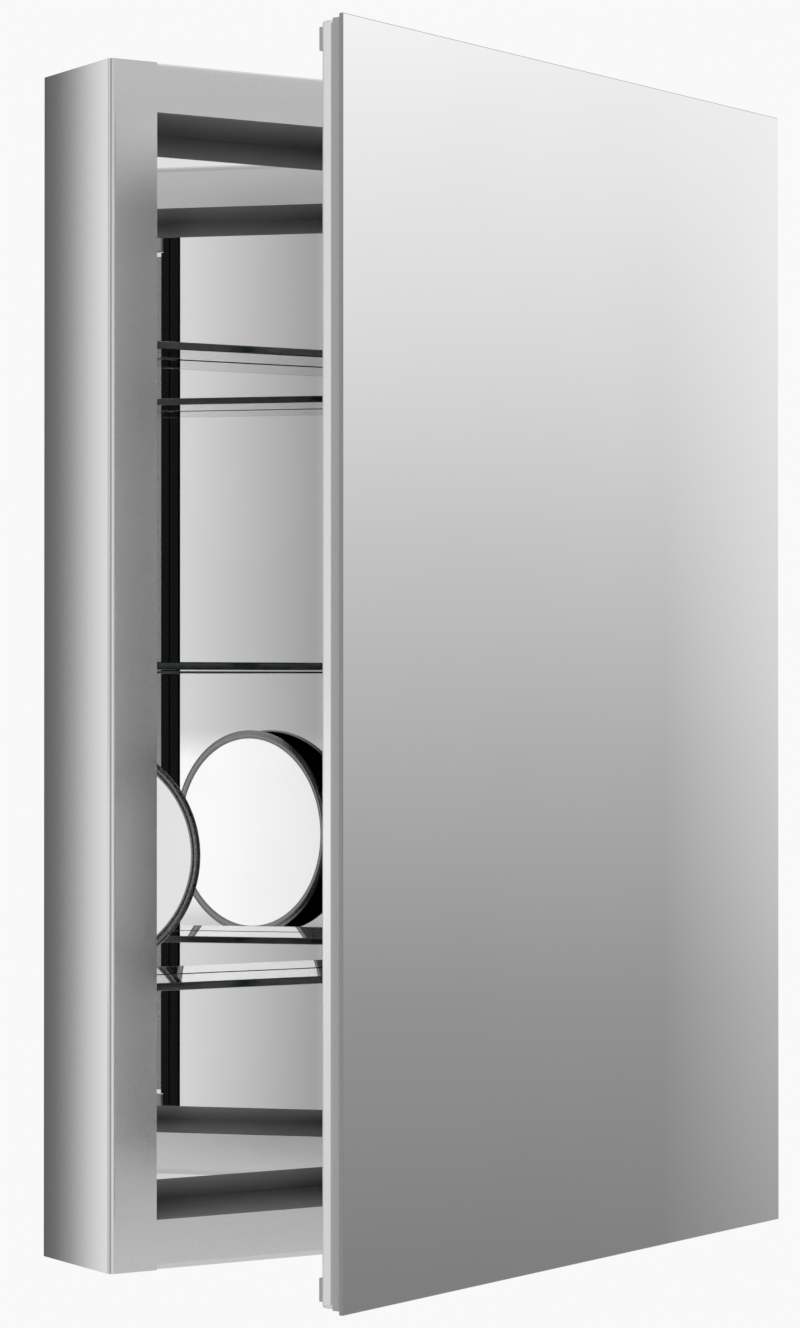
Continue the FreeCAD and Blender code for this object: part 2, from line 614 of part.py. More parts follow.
hub_floor = 1.8
hub = rod(HUB_RADIUS, PLATE_BOTTOM - hub_floor, (0, hub_floor, 0), Y_AXIS)
hub_ears = []
for side in (-1, 1):
    x_range = sorted((side * ear_in, side * ear_out))
    hub_ears.append(box(*x_range, -EAR_REACH, hub_floor + 0.5, -EAR_HALF, EAR_HALF))
clear = box(-ear_in, ear_in, -3.0, CROSS_HALF + 0.5, -ear_out - 1, ear_out + 1)
bearing_x = rod(TRUNNION_RADIUS + RUNNING_FIT, 2 * ear_out + 2, (-ear_out - 1, 0, 0), X_AXIS)
hub = joined([hub] + hub_ears).cut(clear).cut(bearing_x)

hub_screws = []
for turn in (90, 210, 330):
    angle = math.radians(turn)
    x = HUB_SCREW_CIRCLE * math.cos(angle)
    z = HUB_SCREW_CIRCLE * math.sin(angle)
    screw = rod(HUB_SCREW_RADIUS, PLATE_TOP - hub_floor - 0.3, (x, hub_floor + 0.3, z), Y_AXIS)
    hub = hub.cut(rod(HUB_SCREW_RADIUS, PLATE_TOP - hub_floor + 1.0, (x, hub_floor - 0.5, z), Y_AXIS))
    shell = shell.cut(screw)
    hub_screws.append(screw)
on_magnifier("magnifier_hub", hub)
on_magnifier("magnifier_shell", shell)
on_magnifier("magnifier_screws", *hub_screws)

inner_lip = MAG_RADIUS - MAG_RING
bezel = revolved(
    [(SHELL_RADIUS + 0.1, RIM_BACK), (MAG_RADIUS - 1.2, RIM_BACK), (MAG_RADIUS, RIM_BACK + 1.6),
     (MAG_RADIUS, FACE - 0.6), (inner_lip, FACE + 0.15), (SHELL_RADIUS + 0.1, FACE + 0.1)],
    {3: ((MAG_RADIUS + inner_lip) / 2 + 0.4, FACE + 0.95)})
on_magnifier("magnifier_bezel", bezel)

# ---- write every node ----
os.makedirs("parts", exist_ok=True)
for name, shape in sorted(NODES.items()):
    if not shape.isValid():
        print("invalid shape:", name)
    shape.exportStep("parts/" + name + ".step")
    print(name, len(shape.Solids), round(shape.Volume / 1000.0, 2), "cm3")
print(len(NODES), "nodes")
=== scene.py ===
import json
import math

import bmesh
import bpy
from mathutils import Euler, Matrix, Vector


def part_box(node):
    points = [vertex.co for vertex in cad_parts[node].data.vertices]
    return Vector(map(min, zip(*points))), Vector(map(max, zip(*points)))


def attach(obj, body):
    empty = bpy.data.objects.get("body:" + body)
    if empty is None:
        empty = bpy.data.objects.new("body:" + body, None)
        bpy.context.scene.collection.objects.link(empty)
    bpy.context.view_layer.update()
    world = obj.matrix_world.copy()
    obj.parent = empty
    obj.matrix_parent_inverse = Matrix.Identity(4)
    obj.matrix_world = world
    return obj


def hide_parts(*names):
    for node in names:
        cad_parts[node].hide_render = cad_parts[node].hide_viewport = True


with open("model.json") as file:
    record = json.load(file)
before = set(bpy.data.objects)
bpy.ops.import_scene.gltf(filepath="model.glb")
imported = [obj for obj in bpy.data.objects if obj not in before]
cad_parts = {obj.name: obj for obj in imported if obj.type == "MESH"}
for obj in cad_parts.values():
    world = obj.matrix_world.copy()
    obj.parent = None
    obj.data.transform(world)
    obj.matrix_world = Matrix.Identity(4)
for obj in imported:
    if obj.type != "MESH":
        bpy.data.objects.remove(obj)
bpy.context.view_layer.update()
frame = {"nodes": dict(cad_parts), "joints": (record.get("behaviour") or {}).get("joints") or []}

# A mirrored medicine cabinet: its finishes, its glass and screws, the light and the camera.
# The object's sizes are given in millimetres and turned to metres by MM, and its places come from
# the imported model. The studio's sizes are in metres.

MM = 0.001
NODES = frame["nodes"]

# ---- the door's hinge line and how far it stands open at rest ----
HINGE = next(joint for joint in frame["joints"] if joint["name"] == "door_swing")
HINGE_LINE = Vector(HINGE["pos_m"])
DOOR_OPEN = math.radians(22.7)
DOOR_TURN = (Matrix.Translation(HINGE_LINE) @ Matrix.Rotation(DOOR_OPEN, 4, "Z")
             @ Matrix.Translation(-HINGE_LINE))
IN_PLACE = Matrix.Identity(4)

# ---- the case and the door, as it stands closed, from the case forwards ----
DOOR_GAP = 4 * MM
FRAME_THICKNESS = 8.9 * MM
CORE_THICKNESS = 5.9 * MM
MIRROR_THICKNESS = 3 * MM
CASE_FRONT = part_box("case_left")[0].y
DOOR_BACK = CASE_FRONT - DOOR_GAP
FRAME_FRONT = DOOR_BACK - FRAME_THICKNESS
MIRROR_BACK = FRAME_FRONT - CORE_THICKNESS
DOOR_HALF_WIDTH = 254 * MM
DOOR_HALF_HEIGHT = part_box("front_mirror")[1].z
FRAME_HALF_WIDTH = 251.6 * MM
MIRROR_ARRIS = 0.5 * MM
SHELF_ARRIS = 0.8 * MM

# ---- the satin strip beside the dust seal, measured from the door's free edge ----
TRIM_FROM_EDGE = 5.8 * MM
TRIM_TO_EDGE = 12.0 * MM
TRIM_THICKNESS = 0.5 * MM
TRIM_ARRIS = 0.1 * MM
TRIM_HALF = 357 * MM

# ---- the magnifier, drawn square about its swivel and then turned into place ----
SWIVEL = next(joint for joint in frame["joints"] if joint["name"] == "magnifier_pan")
MAG_PAN = math.radians(3.25)    # how far it is turned on the door at rest
MAG_TURN = (Matrix.Translation(Vector(SWIVEL["pos_m"]))
            @ Matrix.Rotation(DOOR_OPEN + MAG_PAN, 4, "Z"))
MAG_FACE = 8.5 * MM         # from the swivel's centre to the glass's rim
MAG_GLASS = 2 * MM
MAG_SPHERE = 2000 * MM
MAG_SIDES = 96
MAG_RINGS = 12

# ---- screws: each head's radius, shank's radius and length in millimetres ----
BACK_SCREW = (2.6, 1.3, 8.0)
HANG_BAR_SCREW = (2.4, 1.3, 5.0)
LEAF_SCREW = (3.2, 1.6, 12.0)
BRACKET_SCREW = (2.8, 1.5, 12.0)
CORNER_SCREW = (2.8, 1.5, 42.0)
HANG_BAR_SPOTS = (-150 * MM, -50 * MM, 50 * MM, 150 * MM)
HINGE_HEIGHTS = (300 * MM, -300 * MM)
LEAF_SCREW_STEP = 20 * MM           # above and below the hinge's middle
BRACKET_SCREW_STEP = 15 * MM
BRACKET_SCREW_INSET = 10.5 * MM     # from the hinge line
BRACKET_SCREW_SINK = 0.2 * MM       # the head's face lies this far under the door's back
CORNER_SCREW_DEPTH = 2.9 * MM       # behind the frame's front
FACES_WALL = Euler((-math.pi / 2, 0, 0))
FACES_ROOM = Euler((math.pi / 2, 0, 0))
FACES_HINGES = Euler((0, math.pi / 2, 0))

# ---- a mirror's coats, as the order of its materials ----
SILVERED, GROUND, PAINTED = range(3)
SQUARE_ON = 0.9             # a face's normal is this close to an axis, or it is an edge


# ---- tools ----
def linear(code):
    """An sRGB hex colour as linear RGBA."""
    parts = [int(code[i:i + 2], 16) / 255 for i in (1, 3, 5)]
    return [c / 12.92 if c <= 0.04045 else ((c + 0.055) / 1.055) ** 2.4 for c in parts] + [1.0]


def grey(level):
    """A neutral linear tone as RGBA."""
    return [level, level, level, 1.0]


def node(tree, kind, inputs=(), stops=(), **settings):
    """Adds one node: its settings, its inputs as values or other nodes' outputs, and a ramp's stops."""
    made = tree.nodes.new(kind)
    for name, value in settings.items():
        setattr(made, name, value)
    for name, value in dict(inputs).items():
        several = isinstance(value, tuple) and hasattr(value[0], "links")
        for item in value if several else (value,):
            if hasattr(item, "links"):
                tree.links.new(item, made.inputs[name])
            else:
                made.inputs[name].default_value = item
    if stops:
        ramp = made.color_ramp
        ramp.elements.remove(ramp.elements[1])
        ramp.elements[0].position, ramp.elements[0].color = stops[0]
        for place, tone in stops[1:]:
            ramp.elements.new(place).color = tone
    return made


def finish(name, **values):
    """A material whose shader's own sockets hold the plain values."""
    material = bpy.data.materials.new(name)
    material.use_nodes = True
    skin = material.node_tree.nodes["Principled BSDF"]
    for socket, value in values.items():
        skin.inputs[socket.replace("_", " ")].default_value = value
    return material, material.node_tree, skin


RELIEF_STRENGTH = 0.6


def grain(tree, skin, size, tones, roughness, relief, stretch=(1, 1, 1), cells=False):
    """A surface's fine pattern: two tones, a range of roughness and a relief, size millimetres across."""
    place = node(tree, "ShaderNodeTexCoord")
    laid = node(tree, "ShaderNodeMapping", {"Vector": place.outputs["Object"], "Scale": stretch})
    kind = "ShaderNodeTexVoronoi" if cells else "ShaderNodeTexNoise"
    pattern = node(tree, kind, {"Vector": laid.outputs["Vector"], "Scale": 1 / (size * MM)})
    height = pattern.outputs["Distance" if cells else "Fac"]
    # the values that each kind of pattern mostly stays between
    low, high = (0.0, 0.7) if cells else (0.3, 0.7)
    tone = node(tree, "ShaderNodeValToRGB", {"Fac": height},
                stops=[(low, linear(tones[0])), (high, linear(tones[1]))])
    rough = node(tree, "ShaderNodeMapRange", {"Value": height, "From Min": low, "From Max": high,
                                              "To Min": roughness[0], "To Max": roughness[1]})
    bump = node(tree, "ShaderNodeBump", {"Height": height, "Distance": relief * MM,
                                       "Strength": RELIEF_STRENGTH})
    tree.links.new(tone.outputs["Color"], skin.inputs["Base Color"])
    tree.links.new(rough.outputs["Result"], skin.inputs["Roughness"])
    tree.links.new(bump.outputs["Normal"], skin.inputs["Normal"])


# ---- finishes ----
def anodised_aluminium():
    """Extruded 6063, etched and clear anodised: a soft even sheen with a very fine grain."""
    material, tree, skin = finish("etched_anodised_aluminium", Metallic=1.0)
    # the etch pits are about 0.1 mm, drawn at 1.5 mm so that they show
    grain(tree, skin, 1.5, ("#DCDCDC", "#E0E0E0"), (0.20, 0.23), 0.0001)
    return material


def silvered_glass():
    """Float glass silvered on the far side: a clean reflection with the faintest roller wave."""
    material, tree, skin = finish("silvered_float_glass", Metallic=1.0)
    # roller wave is about 150 mm long and far under a micrometre deep
    grain(tree, skin, 150, ("#F4F4F4", "#F6F6F6"), (0.0, 0.004), 0.0001)
    return material


def ground_glass_edge():
    """The mirror's seamed edge: ground glass over the silver, a darker satin grey."""
    material, tree, skin = finish("seamed_glass_edge", Metallic=0.0, IOR=1.52)
    # grinding leaves pits of about 0.1 mm, drawn at 0.7 mm so that they show
    grain(tree, skin, 0.7, ("#878787", "#929292"), (0.30, 0.42), 0.004)
    return material


def mirror_backing():
    """The mirror's protective back coat: sprayed lead-free paint, a matt mid grey."""
    material, tree, skin = finish("mirror_back_paint")
    # the sprayed coat's peel is about 1.6 mm across
    grain(tree, skin, 1.6, ("#70726F", "#787A77"), (0.5, 0.62), 0.01)
    return material


def shelf_glass():
    """Clear float glass: sharp reflections at a glance, nearly nothing face on."""
    material, tree, skin = finish("clear_float_glass", IOR=1.52, Transmission_Weight=1.0)
    # roller wave again, a little shorter in the thicker glass
    grain(tree, skin, 120, ("#F4F7F5", "#F7F9F8"), (0.0, 0.004), 0.0001)
    return material


def polished_glass_edge():
    """The shelf's polished edge: the slab seen end on, dark and glossy."""
    material, tree, skin = finish("polished_glass_edge", IOR=1.52)
    # polishing leaves a wave about 6 mm long
    grain(tree, skin, 6, ("#20272A", "#2A3134"), (0.03, 0.08), 0.0005)
    return material


def zinc_plate():
    """Bright zinc plate on pressed steel: blue-white, slightly cloudy."""
    material, tree, skin = finish("bright_zinc_plate", Metallic=1.0)
    # the plate clouds in patches of about 2.5 mm
    grain(tree, skin, 2.5, ("#B9BCBF", "#C9CCCE"), (0.24, 0.40), 0.003)
    return material


def galvanised_sheet():
    """Hot-dip galvanised sheet: flat spangles of slightly different greys."""
    material, tree, skin = finish("galvanised_sheet", Metallic=0.9)
    # spangles are about 9 mm across
    grain(tree, skin, 9, ("#A7AAAC", "#BFC2C4"), (0.34, 0.52), 0.002, cells=True)
    return material


def carrier_board():
    """The mirror's carrier: dense grey board, cut edges slightly rough."""
    material, tree, skin = finish("grey_carrier_board")
    # the board's fibres and filler show at about 0.8 mm
    grain(tree, skin, 0.8, ("#A2A2A1", "#AFAFAE"), (0.55, 0.7), 0.02)
    return material


def foam_board():
    """Closed-cell foam filler: pale, matt and finely pitted."""
    material, tree, skin = finish("closed_cell_foam")
    # cells are about 1.2 mm across
    grain(tree, skin, 1.2, ("#C9C9C6", "#DADAD8"), (0.8, 0.9), 0.08, cells=True)
    return material


def grey_rubber():
    """Moulded elastomer bumpers: matt grey with a soft highlight."""
    material, tree, skin = finish("grey_moulded_rubber", Specular_IOR_Level=0.4)
    # the mould's fine texture is about 0.5 mm across
    grain(tree, skin, 0.5, ("#A2A2A2", "#ACACAC"), (0.5, 0.62), 0.01)
    return material


def black_rubber():
    """The door's extruded dust seal: black elastomer, dull, with faint die lines."""
    material, tree, skin = finish("black_extruded_rubber", Specular_IOR_Level=0.12)
    # die lines 0.6 mm apart and ten times as long
    grain(tree, skin, 0.6, ("#080808", "#0E0E0E"), (0.55, 0.68), 0.004, stretch=(1, 1, 0.1))
    return material


def dark_lining():
    """The lining inside the top and bottom rails: calendered vinyl film, grey and half matt, with painted
    shade that turns it near black towards the deep back corner.
    """
    material, tree, skin = finish("grey_vinyl_lining_painted_shade", Specular_IOR_Level=0.06)
    # the calendered texture is about 0.2 mm, drawn at 1.8 mm so that it shows
    grain(tree, skin, 1.8, ("#8E8E8E", "#969696"), (0.45, 0.55), 0.001)
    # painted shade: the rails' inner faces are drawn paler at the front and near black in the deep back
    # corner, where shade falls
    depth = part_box("case_lining")
    place = node(tree, "ShaderNodeTexCoord")
    inward = node(tree, "ShaderNodeSeparateXYZ", {"Vector": place.outputs["Object"]})
    fade = node(tree, "ShaderNodeMapRange", {"Value": inward.outputs["Y"], "From Min": depth[0].y,
                                             "From Max": depth[1].y})
    tone = skin.inputs["Base Color"].links[0].from_socket
    deep = node(tree, "ShaderNodeValToRGB", {"Fac": fade.outputs["Result"]},
                stops=[(0.0, linear("#FFFFFF")), (0.7, linear("#888888")), (1.0, linear("#202020"))])
    # the film's grey times the painted shade ramp
    painted_shade = node(tree, "ShaderNodeMix", {0: 1.0, 6: tone, 7: deep.outputs["Color"]},
                  data_type="RGBA", blend_type="MULTIPLY")
    tree.links.new(painted_shade.outputs[2], skin.inputs["Base Color"])
    return material


def clear_pad():
    """Soft clear vinyl pads under the glass: milky and slightly rough."""
    material, tree, skin = finish("clear_soft_vinyl", IOR=1.53, Transmission_Weight=0.7)
    # the vinyl clouds in patches of about 1 mm
    grain(tree, skin, 1.0, ("#E6E8E8", "#F0F1F1"), (0.2, 0.32), 0.004)
    return material


def acetal():
    """Machined acetal bushes: off-white, low sheen, faint turning marks."""
    material, tree, skin = finish("natural_acetal", IOR=1.48)
    # turning marks 0.1 mm apart along the bush and 0.6 mm long
    grain(tree, skin, 0.6, ("#E4E3DD", "#EDECE7"), (0.32, 0.42), 0.004, stretch=(1, 1, 6))
    return material


def black_moulding():
    """Injection-moulded ABS with a spark-eroded texture: black, low sheen, finely pebbled."""
    material, tree, skin = finish("textured_black_abs", IOR=1.53)
    # spark erosion leaves craters of about 0.2 mm, drawn at 0.8 mm so that they show
    grain(tree, skin, 0.8, ("#141414", "#1C1C1C"), (0.38, 0.5), 0.02, cells=True)
    return material


def satin_ring():
    """The magnifier's rim: satin chrome plate on moulded ABS, darker than the mirror it holds."""
    material, tree, skin = finish("satin_chrome_plate", Metallic=1.0)
    # the satin plate's grain is under 0.1 mm, drawn at 0.8 mm so that it shows
    grain(tree, skin, 0.8, ("#8E8E8E", "#9A9A9A"), (0.24, 0.32), 0.002)
    return material


def pin_steel():
    """Ground stainless pins: bright, with the grinding lines round them."""
    material, tree, skin = finish("ground_stainless_steel", Metallic=1.0)
    # grinding lines 0.16 mm apart along the pin and 0.8 mm long
    grain(tree, skin, 0.8, ("#C4C4C3", "#D2D2D1"), (0.14, 0.24), 0.002, stretch=(1, 1, 5))
    return material


FINISHES = {
    "anodised_aluminium": anodised_aluminium(),
    "mirror_glass": silvered_glass(),
    "shelf_glass": shelf_glass(),
    "zinc_steel": zinc_plate(),
    "back_sheet_steel": galvanised_sheet(),
    "core_board": carrier_board(),
    "foam_board": foam_board(),
    "grey_rubber": grey_rubber(),
    "black_rubber": black_rubber(),
    "dark_lining": dark_lining(),
    "clear_pad": clear_pad(),
    "bearing_plastic": acetal(),
    "black_plastic": black_moulding(),
    "satin_ring": satin_ring(),
    "pin_steel": pin_steel(),
}


def finish_the_nodes():
    """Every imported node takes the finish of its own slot."""
    for part in NODES.values():
        for place in part.material_slots:
            place.material = FINISHES[place.material.name]


MIRROR_COATS = [FINISHES["mirror_glass"], ground_glass_edge(), mirror_backing()]


# ---- pieces ----
def keep(name, mesh, body, stands_for, turn=IN_PLACE):
    """A finished piece at the origin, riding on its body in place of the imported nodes."""
    mesh.transform(turn)
    piece = bpy.data.objects.new(name, mesh)
    bpy.context.scene.collection.objects.link(piece)
    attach(piece, body)
    if stands_for:
        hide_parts(*stands_for)
    return piece


def slab(name, low, high, arris, segments, materials, pick):
    """A closed glass plate with eased arrises; pick chooses a face's material from its normal."""
    shape = bmesh.new()
    bmesh.ops.create_cube(shape, size=1.0)
    size = Matrix.Diagonal((*(high - low), 1.0))
    bmesh.ops.transform(shape, matrix=Matrix.Translation((low + high) / 2) @ size, verts=shape.verts)
    bmesh.ops.bevel(shape, geom=shape.edges[:], offset=arris, segments=segments, profile=0.5,
                    affect="EDGES")
    bmesh.ops.recalc_face_normals(shape, faces=shape.faces)
    for face in shape.faces:
        face.material_index = pick(face.normal)
    mesh = bpy.data.meshes.new(name)
    shape.to_mesh(mesh)
    shape.free()
    for material in materials:
        mesh.materials.append(material)
    return mesh


def mirror_coat(facing):
    """The coat on a face of a mirror; facing is how far the face looks the way the mirror does."""
    if facing > SQUARE_ON:
        return SILVERED
    if facing < -SQUARE_ON:
        return PAINTED
    return GROUND


def front_mirror():
    """The door's front plate: silvered face, ground edges and a painted back."""
    low = Vector((-DOOR_HALF_WIDTH, MIRROR_BACK - MIRROR_THICKNESS, -DOOR_HALF_HEIGHT))
    high = Vector((DOOR_HALF_WIDTH, MIRROR_BACK, DOOR_HALF_HEIGHT))
    mesh = slab("front_plate", low, high, MIRROR_ARRIS, 1, MIRROR_COATS,
                lambda normal: mirror_coat(-normal.y))
    keep("front_plate", mesh, "door", ["front_mirror"], DOOR_TURN)


def glass_shelves():
    """Three clear shelves whose polished front and ends are darker than their faces."""
    coats = [FINISHES["shelf_glass"], polished_glass_edge()]
    for level in ("bottom", "middle", "top"):
        packed = "glass_shelf_" + level
        low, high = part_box(packed)
        mesh = slab("clear_shelf_" + level, low, high, SHELF_ARRIS, 2, coats,
                    lambda normal: 0 if abs(normal.z) > SQUARE_ON else 1)
        keep("clear_shelf_" + level, mesh, "case", [packed])


def seal_trim():
    """A satin strip between the door's lip and its dust seal."""
    low = Vector((-DOOR_HALF_WIDTH + TRIM_FROM_EDGE, DOOR_BACK, -TRIM_HALF))
    high = Vector((-DOOR_HALF_WIDTH + TRIM_TO_EDGE, DOOR_BACK + TRIM_THICKNESS, TRIM_HALF))
    mesh = slab("seal_trim", low, high, TRIM_ARRIS, 1, [FINISHES["satin_ring"]], lambda normal: 0)
    keep("seal_trim", mesh, "door", [], DOOR_TURN)


def sphere_rise(radius):
    """How far the magnifier's sphere has risen at this distance from its middle."""
    return MAG_SPHERE - math.sqrt(MAG_SPHERE ** 2 - radius ** 2)


def concave_glass():
    """The magnifier's dished glass: a spherical silvered face, ground rim and painted back."""
    low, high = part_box("magnifier_glass")
    radius = (high.z - low.z) / 2
    sag = sphere_rise(radius)
    turns = [math.tau * step / MAG_SIDES for step in range(MAG_SIDES)]
    shape = bmesh.new()

    def ring(share, back):
        """One ring of points on the face, or on the back that lies behind it; share 0 is the middle."""
        r = radius * share
        y = MAG_FACE - sag + sphere_rise(r) - back
        if not share:
            return [shape.verts.new((0, y, 0))]
        return [shape.verts.new((r * math.cos(t), y, r * math.sin(t))) for t in turns]

    shares = [step / MAG_RINGS for step in range(MAG_RINGS + 1)]
    front = [ring(share, 0) for share in shares]
    back = [ring(share, MAG_GLASS) for share in reversed(shares)]
    for inner, outer in zip(front + back, (front + back)[1:]):
        for step in range(MAG_SIDES):
            after = (step + 1) % MAG_SIDES
            corners = [inner[step % len(inner)], inner[after % len(inner)],
                       outer[after % len(outer)], outer[step % len(outer)]]
            shape.faces.new(list(dict.fromkeys(corners)))
    bmesh.ops.recalc_face_normals(shape, faces=shape.faces)
    for face in shape.faces:
        face.material_index = mirror_coat(face.normal.y)
        face.smooth = True
    for edge in shape.edges:
        sides = {face.material_index for face in edge.link_faces}
        edge.smooth = len(sides) == 1
    mesh = bpy.data.meshes.new("concave_glass")
    shape.to_mesh(mesh)
    shape.free()
    for material in MIRROR_COATS:
        mesh.materials.append(material)
    keep("concave_glass", mesh, "magnifier_head", ["magnifier_glass"], MAG_TURN)


# ---- screws, grown by Geometry Nodes ----
HEAD_SIDES = 32
SHANK_SIDES = 20
SHANK_FIT = 0.94            # the rod is a little slimmer than the head's narrow end
ROD_TOP = -0.25             # the rod starts this share of the head's depth under the face
RECESS_SPAN = 1.05          # the recess's length, width and depth, as shares of the head's
RECESS_WIDTH = 0.24
RECESS_DEPTH = 1.3
TURN_SEED = 7


def scaled(tree, value, factor):
    """A tree's own value times a plain number."""
    return node(tree, "ShaderNodeMath", {0: value, 1: factor}, operation="MULTIPLY").outputs[0]


def screw_body(tree, given, depth):
    """A countersunk head, its face at the origin and looking up, with its shank below."""
    down = node(tree, "ShaderNodeCombineXYZ", {"Z": scaled(tree, depth, -1.0)}).outputs[0]
    cone = node(tree, "GeometryNodeMeshCone", {"Vertices": HEAD_SIDES, "Radius Top": given["Head Radius"],
                                               "Radius Bottom": given["Shank Radius"],
                                               "Depth": depth}).outputs["Mesh"]
    head = node(tree, "GeometryNodeTransform", {"Geometry": cone, "Translation": down}).outputs[0]
    slim = scaled(tree, given["Shank Radius"], SHANK_FIT)
    rod = node(tree, "GeometryNodeMeshCylinder", {"Vertices": SHANK_SIDES, "Radius": slim,
                                                  "Depth": given["Length"]}).outputs["Mesh"]
    middle = scaled(tree, given["Length"], -0.5)
    centre = node(tree, "ShaderNodeMath", {0: depth, 1: ROD_TOP, 2: middle},
                  operation="MULTIPLY_ADD").outputs[0]
    lower = node(tree, "ShaderNodeCombineXYZ", {"Z": centre}).outputs[0]
    shank = node(tree, "GeometryNodeTransform", {"Geometry": rod, "Translation": lower}).outputs[0]
    return node(tree, "GeometryNodeMeshBoolean", {"Mesh 2": (head, shank)},
                operation="UNION").outputs["Mesh"]


def recess_bars(tree, given, depth):
    """The two crossed bars that cut the recess."""
    span = scaled(tree, given["Head Radius"], RECESS_SPAN)
    blade = scaled(tree, given["Head Radius"], RECESS_WIDTH)
    deep = scaled(tree, depth, RECESS_DEPTH)
    bars = []
    for long_side, short_side in (("X", "Y"), ("Y", "X")):
        size = node(tree, "ShaderNodeCombineXYZ", {long_side: span, short_side: blade, "Z": deep})
        bars.append(node(tree, "GeometryNodeMeshCube", {"Size": size.outputs[0]}).outputs["Mesh"])
    return tuple(bars)


def screw_tree():
    """Countersunk screws with a cross recess, one at each point, each driven home at its own turn."""
    tree = bpy.data.node_groups.new("countersunk_screws", "GeometryNodeTree")
    sides = tree.interface
    sides.new_socket("Places", in_out="INPUT", socket_type="NodeSocketGeometry")
    for name in ("Head Radius", "Shank Radius", "Length"):
        sides.new_socket(name, in_out="INPUT", socket_type="NodeSocketFloat")
    sides.new_socket("Turn", in_out="INPUT", socket_type="NodeSocketVector")
    sides.new_socket("Finish", in_out="INPUT", socket_type="NodeSocketMaterial")
    sides.new_socket("Screws", in_out="OUTPUT", socket_type="NodeSocketGeometry")
    given = node(tree, "NodeGroupInput").outputs
    depth = node(tree, "ShaderNodeMath", {0: given["Head Radius"], 1: given["Shank Radius"]},
                 operation="SUBTRACT").outputs[0]
    driven = node(tree, "GeometryNodeMeshBoolean", {"Mesh 1": screw_body(tree, given, depth),
                                                    "Mesh 2": recess_bars(tree, given, depth)},
                  operation="DIFFERENCE").outputs["Mesh"]
    set_out = node(tree, "GeometryNodeInstanceOnPoints", {"Points": given["Places"],
                                                          "Instance": driven,
                                                          "Rotation": given["Turn"]}).outputs[0]
    spin = node(tree, "FunctionNodeRandomValue", {"Max": (0.0, 0.0, math.pi), "Seed": TURN_SEED},
                data_type="FLOAT_VECTOR").outputs[0]
    turned = node(tree, "GeometryNodeRotateInstances", {"Instances": set_out, "Rotation": spin})
    real = node(tree, "GeometryNodeRealizeInstances", {"Geometry": turned.outputs[0]}).outputs[0]
    done = node(tree, "GeometryNodeSetMaterial", {"Geometry": real, "Material": given["Finish"]})
    node(tree, "NodeGroupOutput", {"Screws": done.outputs[0]})
    return tree


def grown(tree, places, values):
    """Runs a tree on a mesh of points and gives back the result as a plain mesh."""
    seeds = bpy.data.meshes.new("places")
    seeds.from_pydata(places, [], [])
    host = bpy.data.objects.new("places", seeds)
    bpy.context.scene.collection.objects.link(host)
    modifier = host.modifiers.new("grow", "NODES")
    modifier.node_group = tree
    for item in tree.interface.items_tree:
        if item.name in values:
            modifier[item.identifier] = values[item.name]
    evaluated = host.evaluated_get(bpy.context.evaluated_depsgraph_get())
    mesh = bpy.data.meshes.new_from_object(evaluated)
    bpy.data.objects.remove(host)
    return mesh


def screws(tree, packed, body, turn, sizes, places, door=IN_PLACE):
    """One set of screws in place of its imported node."""
    head, shank, length = (size * MM for size in sizes)
    mesh = grown(tree, places, {"Head Radius": head, "Shank Radius": shank, "Length": length,
                                "Turn": tuple(turn), "Finish": FINISHES["zinc_steel"]})
    keep(packed.replace("screws", "cross_screws"), mesh, body, [packed], door)


def case_screws(tree):
    """The screws of the back sheet, of the hang bars and of the hinge leaves."""
    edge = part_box("back_screws")[1]
    back_x = edge.x - BACK_SCREW[0] * MM
    back_z = edge.z - BACK_SCREW[0] * MM
    screws(tree, "back_screws", "case", FACES_WALL, BACK_SCREW,
           [(x, 0.0, back_z * step) for x in (-back_x, back_x) for step in (-1, -1 / 3, 1 / 3, 1)])
    low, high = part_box("hang_bar_screws")
    bar_z = (low.z + HANG_BAR_SCREW[0] * MM, high.z - HANG_BAR_SCREW[0] * MM)
    screws(tree, "hang_bar_screws", "case", FACES_WALL, HANG_BAR_SCREW,
           [(x, high.y, z) for x in HANG_BAR_SPOTS for z in bar_z])
    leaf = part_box("hinge_leaf_screws")
    middle = (leaf[0].x + leaf[1].x) / 2
    screws(tree, "hinge_leaf_screws", "case", FACES_ROOM, LEAF_SCREW,
           [(middle, leaf[0].y, z + step) for z in HINGE_HEIGHTS
            for step in (-LEAF_SCREW_STEP, LEAF_SCREW_STEP)])


def door_screws(tree):
    """The screws of the hinge brackets and of the stile's corners."""
    bracket_x = HINGE_LINE.x - BRACKET_SCREW_INSET
    screws(tree, "hinge_bracket_screws", "door", FACES_WALL, BRACKET_SCREW,
           [(bracket_x, DOOR_BACK - BRACKET_SCREW_SINK, z + step) for z in HINGE_HEIGHTS
            for step in (-BRACKET_SCREW_STEP, BRACKET_SCREW_STEP)], DOOR_TURN)
    corner_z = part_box("door_corner_screws")[1].z - CORNER_SCREW[0] * MM
    screws(tree, "door_corner_screws", "door", FACES_HINGES, CORNER_SCREW,
           [(FRAME_HALF_WIDTH, FRAME_FRONT + CORNER_SCREW_DEPTH, z) for z in (-corner_z, corner_z)],
           DOOR_TURN)


# ---- the studio ----
FLOOR_HEIGHT = -1.25
FLOOR_HALF = 2.2
CARD_LENGTH = 1.5
CARD_HALF_HEIGHT = 0.8
BACKDROP = 0.945            # the plain pale surround, as the camera sees it

